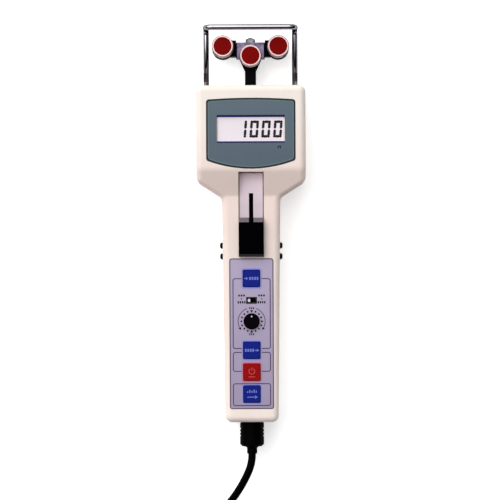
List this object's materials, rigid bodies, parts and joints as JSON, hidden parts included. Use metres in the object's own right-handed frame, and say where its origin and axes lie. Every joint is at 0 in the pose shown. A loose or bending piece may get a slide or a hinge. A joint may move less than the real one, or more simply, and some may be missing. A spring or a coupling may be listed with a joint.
{
  "type": "force gauge",
  "caption": "Hand-held digital force gauge for line tension, with sensing rollers, wire guard, display, thumb slide, keys, dial, battery bay and coiled lead.",
  "frame": {"origin": "under the middle of the gauge without its lead, on the plane its back lies on", "axes": "+Z out of the display, +Y from the tail to the rollers, +X to the reader's right"},
  "size_m": [0.0999, 0.4214, 0.039],
  "materials": {
    "front_housing": "cream moulded",
    "rear_housing": "cream moulded",
    "battery_door": "cream moulded",
    "case_screws": "zinc plated",
    "side_screws": "black oxide",
    "left_battery": "printed foil",
    "right_battery": "printed foil",
    "battery_contacts": "nickel plated",
    "display_bezel": "grey green",
    "display_window": "clear acrylic",
    "lcd_panel": "grey liquid crystal",
    "display_board": "green laminate",
    "control_overlay": "lavender film",
    "key_switches": "black",
    "selector_switch": "black",
    "selector_knob": "black",
    "range_switch": "black",
    "range_lever": "pale",
    "main_board": "green laminate",
    "slide_plate": "grey cream",
    "thumb_slide": "black ribbed",
    "slide_link": "stamped",
    "slide_bar": "ground",
    "slide_guides": "acetal",
    "return_spring": "spring wire",
    "chassis": "sheet",
    "load_cell": "milled",
    "load_cell_screws": "plated",
    "arm_screws": "plated",
    "measuring_arm": "black anodised",
    "carrier_block": "nickel plated",
    "carrier_nut": "plated",
    "left_roller_arm": "black anodised",
    "right_roller_arm": "black anodised",
    "guard_bow": "polished",
    "output_socket": "black",
    "near_plug": "moulded",
    "cord_lead": "PVC sheath",
    "cord_coil": "PVC sheath",
    "coil_ties": "nylon strap",
    "cord_tail": "PVC sheath",
    "far_plug_body": "moulded",
    "far_plug_shell": "plated",
    "memory_key": "blue",
    "recall_key": "blue",
    "power_key": "red",
    "output_key": "blue",
    "left_axle": "plated",
    "left_roller": "polished",
    "left_bearing": "ground",
    "left_cap": "red",
    "right_axle": "plated",
    "right_roller": "polished",
    "right_bearing": "ground",
    "right_cap": "red",
    "middle_axle": "plated",
    "middle_roller": "polished",
    "middle_bearing": "ground",
    "middle_cap": "red"
  },
  "bodies": {
    "housing": {"front_housing": "front_housing", "rear_housing": "rear_housing", "case_screws": "case_screws", "side_screws": "side_screws", "left_battery": "left_battery", "right_battery": "right_battery", "battery_contacts": "battery_contacts", "display_bezel": "display_bezel", "display_window": "display_window", "lcd_panel": "lcd_panel", "display_board": "display_board", "control_overlay": "control_overlay", "key_switches": "key_switches", "selector_switch": "selector_switch", "range_switch": "range_switch", "main_board": "main_board", "slide_plate": "slide_plate", "slide_guides": "slide_guides", "return_spring": "return_spring", "chassis": "chassis", "load_cell": "load_cell", "load_cell_screws": "load_cell_screws", "guard_bow": "guard_bow", "output_socket": "output_socket", "near_plug": "near_plug", "cord_lead": "cord_lead", "cord_coil": "cord_coil", "coil_ties": "coil_ties", "cord_tail": "cord_tail", "far_plug_body": "far_plug_body", "far_plug_shell": "far_plug_shell"},
    "thumb_carriage": {"thumb_slide": "thumb_slide", "slide_link": "slide_link", "slide_bar": "slide_bar", "carrier_block": "carrier_block", "carrier_nut": "carrier_nut", "left_roller_arm": "left_roller_arm", "right_roller_arm": "right_roller_arm", "left_axle": "left_axle", "right_axle": "right_axle"},
    "left_wheel": {"left_roller": "left_roller", "left_bearing": "left_bearing", "left_cap": "left_cap"},
    "right_wheel": {"right_roller": "right_roller", "right_bearing": "right_bearing", "right_cap": "right_cap"},
    "middle_wheel": {"middle_roller": "middle_roller", "middle_bearing": "middle_bearing", "middle_cap": "middle_cap"},
    "sensing_arm": {"measuring_arm": "measuring_arm", "arm_screws": "arm_screws", "middle_axle": "middle_axle"},
    "memory_button": {"memory_key": "memory_key"},
    "recall_button": {"recall_key": "recall_key"},
    "power_button": {"power_key": "power_key"},
    "output_button": {"output_key": "output_key"},
    "selector": {"selector_knob": "selector_knob"},
    "range_select": {"range_lever": "range_lever"},
    "door": {"battery_door": "battery_door"}
  },
  "joints": [
    {"name": "thumb_slide_travel", "type": "slide", "parent": "housing", "child": "thumb_carriage", "axis": [0, 1, 0], "range_m": [0, 0.015], "stiffness_N_per_m": 200, "springref_m": -0.015, "deforming": ["return_spring"]},
    {"name": "left_roller_spin", "type": "hinge", "parent": "thumb_carriage", "child": "left_wheel", "pos_m": [-0.01825, 0.1161, 0.0206], "axis": [0, 0, 1], "continuous": true},
    {"name": "right_roller_spin", "type": "hinge", "parent": "thumb_carriage", "child": "right_wheel", "pos_m": [0.01825, 0.1161, 0.0206], "axis": [0, 0, 1], "continuous": true},
    {"name": "load_deflection", "type": "slide", "parent": "housing", "child": "sensing_arm", "axis": [0, -1, 0], "range_m": [0, 0.0005], "stiffness_N_per_m": 20000, "deforming": ["load_cell"]},
    {"name": "middle_roller_spin", "type": "hinge", "parent": "sensing_arm", "child": "middle_wheel", "pos_m": [0, 0.10995, 0.0206], "axis": [0, 0, 1], "continuous": true},
    {"name": "selector_turn", "type": "hinge", "parent": "housing", "child": "selector", "pos_m": [0, -0.06375, 0.03], "axis": [0, 0, -1], "continuous": true},
    {"name": "range_travel", "type": "slide", "parent": "housing", "child": "range_select", "axis": [1, 0, 0], "range_m": [0, 0.0032]},
    {"name": "door_travel", "type": "slide", "parent": "housing", "child": "door", "axis": [0, -1, 0], "range_m": [0, 0.018]},
    {"name": "memory_press", "type": "slide", "parent": "housing", "child": "memory_button", "axis": [0, 0, -1], "range_m": [0, 0.0006], "stiffness_N_per_m": 500, "springref_m": -0.0006},
    {"name": "recall_press", "type": "slide", "parent": "housing", "child": "recall_button", "axis": [0, 0, -1], "range_m": [0, 0.0006], "stiffness_N_per_m": 500, "springref_m": -0.0006},
    {"name": "power_press", "type": "slide", "parent": "housing", "child": "power_button", "axis": [0, 0, -1], "range_m": [0, 0.0006], "stiffness_N_per_m": 500, "springref_m": -0.0006},
    {"name": "output_press", "type": "slide", "parent": "housing", "child": "output_button", "axis": [0, 0, -1], "range_m": [0, 0.0006], "stiffness_N_per_m": 500, "springref_m": -0.0006}
  ]
}
